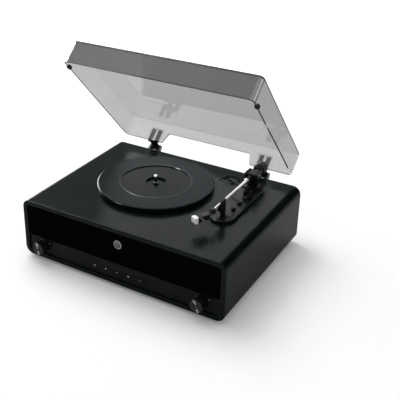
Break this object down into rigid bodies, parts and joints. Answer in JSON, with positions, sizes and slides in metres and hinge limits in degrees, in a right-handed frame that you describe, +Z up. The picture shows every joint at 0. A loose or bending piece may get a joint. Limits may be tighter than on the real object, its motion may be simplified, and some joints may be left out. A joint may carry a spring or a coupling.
{
  "type": "record player",
  "caption": "Tabletop record player: rounded box cabinet with front grille, knobs and buttons, belt-driven platter, offset tonearm and a hinged clear cover held open.",
  "frame": {"origin": "on the table, under the middle of the cabinet", "axes": "+Z up, the front panel faces -Y, the tonearm is on the +X side"},
  "size_m": [0.42, 0.3614, 0.3872],
  "materials": {
    "black_board": "satin black textured wrap",
    "raw_board": "plain fibreboard",
    "grille_cloth": "fine black weave",
    "black_strip": "satin",
    "black_plastic": "satin",
    "gloss_black": "gloss",
    "knob_black": "satin",
    "spun_metal": "spun",
    "badge_metal": "brushed",
    "speaker_steel": "painted",
    "speaker_paper": "paper",
    "steel": "brushed",
    "dark_steel": "black coated",
    "board_green": "solder mask",
    "brass": "machined",
    "rubber_black": "matt",
    "platter_black": "satin black",
    "bright_metal": "polished",
    "arm_black": "satin black",
    "shell_grey": "satin dark grey",
    "cartridge_light": "gloss",
    "stylus_grip": "satin",
    "jack_nickel": "nickel",
    "smoke_clear": "clear, lightly smoked",
    "button_dark": "satin"
  },
  "bodies": {
    "cabinet": {"cabinet_sleeve": "black_board", "front_baffle": "raw_board", "speaker_grille": "grille_cloth", "control_strip": "black_strip", "grille_badge": "badge_metal", "speaker_baskets": "speaker_steel", "speaker_cones": "speaker_paper", "rear_panel": "black_board", "jack_plate": "black_plastic", "line_out_jacks": "jack_nickel", "dc_inlet": "black_plastic", "main_board": "board_green", "button_switches": "black_plastic", "headphone_jack": "black_plastic", "pot_bodies": "steel", "rubber_feet": "rubber_black", "cabinet_screws": "dark_steel", "bearing_bush": "brass", "motor": "steel", "drive_belt": "rubber_black", "arm_base_plate": "gloss_black", "pivot_column": "black_plastic", "arm_rest": "black_plastic", "cue_housing": "black_plastic", "hinge_bases": "black_plastic", "hinge_hardware": "steel"},
    "platter_assembly": {"platter": "platter_black", "platter_mat": "rubber_black", "spindle": "bright_metal"},
    "pulley": {"motor_pulley": "brass"},
    "adapter": {"adapter_45": "black_plastic"},
    "speed_slider": {"speed_selector": "black_plastic"},
    "auto_stop_slider": {"auto_stop_switch": "black_plastic"},
    "yoke": {"arm_yoke": "arm_black", "pivot_pins": "steel"},
    "tonearm": {"gimbal_block": "arm_black", "tonearm_tube": "bright_metal", "headshell": "shell_grey", "cartridge": "stylus_grip", "stylus_assembly": "cartridge_light", "finger_lift": "bright_metal", "counterweight_stub": "steel"},
    "balance_weight": {"counterweight": "arm_black"},
    "cue_handle": {"cue_lever": "black_plastic"},
    "cue_lift": {"lift_bar": "black_plastic"},
    "volume_control": {"volume_knob": "knob_black", "volume_knob_cap": "spun_metal", "volume_pot_shaft": "steel"},
    "tone_control": {"tone_knob": "knob_black", "tone_knob_cap": "spun_metal", "tone_pot_shaft": "steel"},
    "cover": {"dust_cover": "smoke_clear", "hinge_sockets": "smoke_clear", "hinge_arms": "black_plastic", "lid_bumpers": "rubber_black"},
    "button_1_body": {"button_1": "button_dark"},
    "button_2_body": {"button_2": "button_dark"},
    "button_3_body": {"button_3": "button_dark"},
    "button_4_body": {"button_4": "button_dark"},
    "button_5_body": {"button_5": "button_dark"}
  },
  "joints": [
    {"name": "platter_spin", "type": "hinge", "parent": "cabinet", "child": "platter_assembly", "pos_m": [-0.029, 0.019, 0.12], "axis": [0, 0, 1], "continuous": true},
    {"name": "pulley_spin", "type": "hinge", "parent": "cabinet", "child": "pulley", "pos_m": [-0.09405, -0.04605, 0.12], "axis": [0, 0, 1], "continuous": true},
    {"name": "adapter_lift_out", "type": "slide", "parent": "cabinet", "child": "adapter", "axis": [0, 0, 1], "range_m": [0, 0.012]},
    {"name": "speed_select", "type": "slide", "parent": "cabinet", "child": "speed_slider", "axis": [0, 1, 0], "range_m": [-0.006, 0.006]},
    {"name": "auto_stop_select", "type": "slide", "parent": "cabinet", "child": "auto_stop_slider", "axis": [0, 1, 0], "range_m": [0, 0.006]},
    {"name": "arm_swing", "type": "hinge", "parent": "cabinet", "child": "yoke", "pos_m": [0.134, 0.1, 0.137], "axis": [0, 0, -1], "range_deg": [0, 42]},
    {"name": "arm_lift", "type": "hinge", "parent": "yoke", "child": "tonearm", "pos_m": [0.134, 0.1, 0.1505], "axis": [-1, 0, 0], "range_deg": [0, 12]},
    {"name": "counterweight_turn", "type": "hinge", "parent": "tonearm", "child": "balance_weight", "pos_m": [0.134, 0.131, 0.1505], "axis": [0, 1, 0], "range_deg": [-180, 180]},
    {"name": "cue_lever_turn", "type": "hinge", "parent": "cabinet", "child": "cue_handle", "pos_m": [0.1515, 0.057, 0.132], "axis": [-1, 0, 0], "range_deg": [0, 35]},
    {"name": "lift_bar_rise", "type": "slide", "parent": "cabinet", "child": "cue_lift", "axis": [0, 0, 1], "range_m": [0, 0.003]},
    {"name": "volume_turn", "type": "hinge", "parent": "cabinet", "child": "volume_control", "pos_m": [-0.17, -0.153, 0.031], "axis": [0, -1, 0], "range_deg": [-140, 140]},
    {"name": "tone_turn", "type": "hinge", "parent": "cabinet", "child": "tone_control", "pos_m": [0.164, -0.153, 0.031], "axis": [0, -1, 0], "range_deg": [-140, 140]},
    {"name": "cover_tilt", "type": "hinge", "parent": "cabinet", "child": "cover", "pos_m": [0, 0.1724, 0.118], "axis": [-1, 0, 0], "range_deg": [-47.2, 0]},
    {"name": "button_1_press", "type": "slide", "parent": "cabinet", "child": "button_1_body", "axis": [0, 1, 0], "range_m": [0, 0.001], "stiffness_N_per_m": 250, "springref_m": -0.0005},
    {"name": "button_2_press", "type": "slide", "parent": "cabinet", "child": "button_2_body", "axis": [0, 1, 0], "range_m": [0, 0.001], "stiffness_N_per_m": 250, "springref_m": -0.0005},
    {"name": "button_3_press", "type": "slide", "parent": "cabinet", "child": "button_3_body", "axis": [0, 1, 0], "range_m": [0, 0.001], "stiffness_N_per_m": 250, "springref_m": -0.0005},
    {"name": "button_4_press", "type": "slide", "parent": "cabinet", "child": "button_4_body", "axis": [0, 1, 0], "range_m": [0, 0.001], "stiffness_N_per_m": 250, "springref_m": -0.0005},
    {"name": "button_5_press", "type": "slide", "parent": "cabinet", "child": "button_5_body", "axis": [0, 1, 0], "range_m": [0, 0.001], "stiffness_N_per_m": 250, "springref_m": -0.0005}
  ],
  "couplings": [
    {"joint": "pulley_spin", "follows": "platter_spin", "ratio": 13.909},
    {"joint": "cue_lever_turn", "follows": "lift_bar_rise", "rad_per_m": 203.62}
  ]
}
